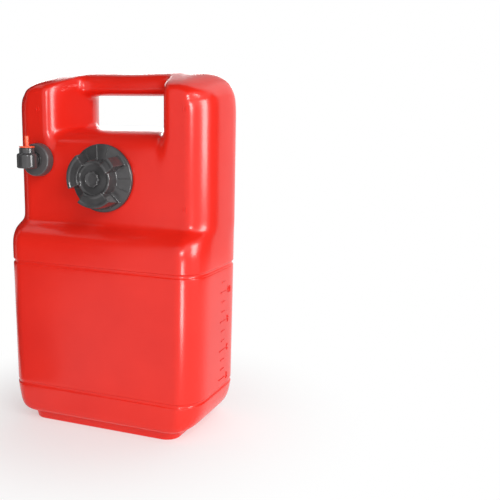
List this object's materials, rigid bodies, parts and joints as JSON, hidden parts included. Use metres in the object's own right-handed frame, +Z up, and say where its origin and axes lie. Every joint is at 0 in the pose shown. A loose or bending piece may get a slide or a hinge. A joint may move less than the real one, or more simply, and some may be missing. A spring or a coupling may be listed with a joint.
{
  "type": "outboard fuel tank",
  "caption": "Portable red fuel tank for an outboard motor: stepped moulded shell with a built-in carry grip, winged filler cap with vent screw, and a swivel fuel fitting with its plug.",
  "frame": {"origin": "middle of the flat underside of the foot", "axes": "+Z up along the tank's height, -Y out of the front face with the cap, +X to the right seen from the front"},
  "size_m": [0.286, 0.1627, 0.468],
  "materials": {
    "red_hdpe": "glossy blow-moulded polyethylene",
    "black_plastic": "satin injection-moulded plastic",
    "black_rubber": "matt moulded rubber",
    "natural_plastic": "milky extruded plastic",
    "steel": "bright",
    "orange_plastic": "glossy moulded plastic"
  },
  "bodies": {
    "tank": {"tank_shell": "red_hdpe", "fitting_nut": "black_plastic", "fitting_gasket": "black_rubber", "fitting_body": "black_plastic", "pickup_tube": "natural_plastic", "pickup_strainer": "natural_plastic"},
    "cap_seal": {"cap_gasket": "black_rubber"},
    "cap": {"cap_grip": "black_plastic", "cap_liner": "black_plastic", "vent_baffle": "black_plastic"},
    "vent_ring": {"vent_seal": "black_rubber"},
    "vent": {"vent_screw": "black_plastic"},
    "swivel": {"elbow": "black_plastic", "elbow_oring": "black_rubber", "valve_seat": "black_rubber", "check_spring": "steel"},
    "ball": {"check_ball": "steel"},
    "plug": {"shipping_plug": "orange_plastic"}
  },
  "joints": [
    {"name": "cap_rise", "type": "slide", "parent": "tank", "child": "cap_seal", "axis": [0, -1, 0], "range_m": [0, 0.0145]},
    {"name": "cap_turn", "type": "hinge", "parent": "cap_seal", "child": "cap", "pos_m": [-0.001, -0.0475, 0.335], "axis": [0, -1, 0], "range_deg": [0, 1008]},
    {"name": "vent_rise", "type": "slide", "parent": "cap", "child": "vent_ring", "axis": [0, -1, 0], "range_m": [0, 0.0024]},
    {"name": "vent_turn", "type": "hinge", "parent": "vent_ring", "child": "vent", "pos_m": [-0.001, -0.0475, 0.335], "axis": [0, -1, 0], "range_deg": [0, 540]},
    {"name": "elbow_swivel", "type": "hinge", "parent": "tank", "child": "swivel", "pos_m": [-0.098, -0.0475, 0.3556], "axis": [0, -1, 0], "continuous": true},
    {"name": "ball_lift", "type": "slide", "parent": "swivel", "child": "ball", "axis": [0, 0, -1], "range_m": [0, 0.002], "stiffness_N_per_m": 60, "springref_m": -0.003, "deforming": ["check_spring"]},
    {"name": "plug_pull", "type": "slide", "parent": "swivel", "child": "plug", "axis": [0, 0, 1], "range_m": [0, 0.007]}
  ],
  "couplings": [
    {"joint": "cap_rise", "follows": "cap_turn", "m_per_rad": 0.00079577},
    {"joint": "vent_rise", "follows": "vent_turn", "m_per_rad": 0.00023873}
  ]
}
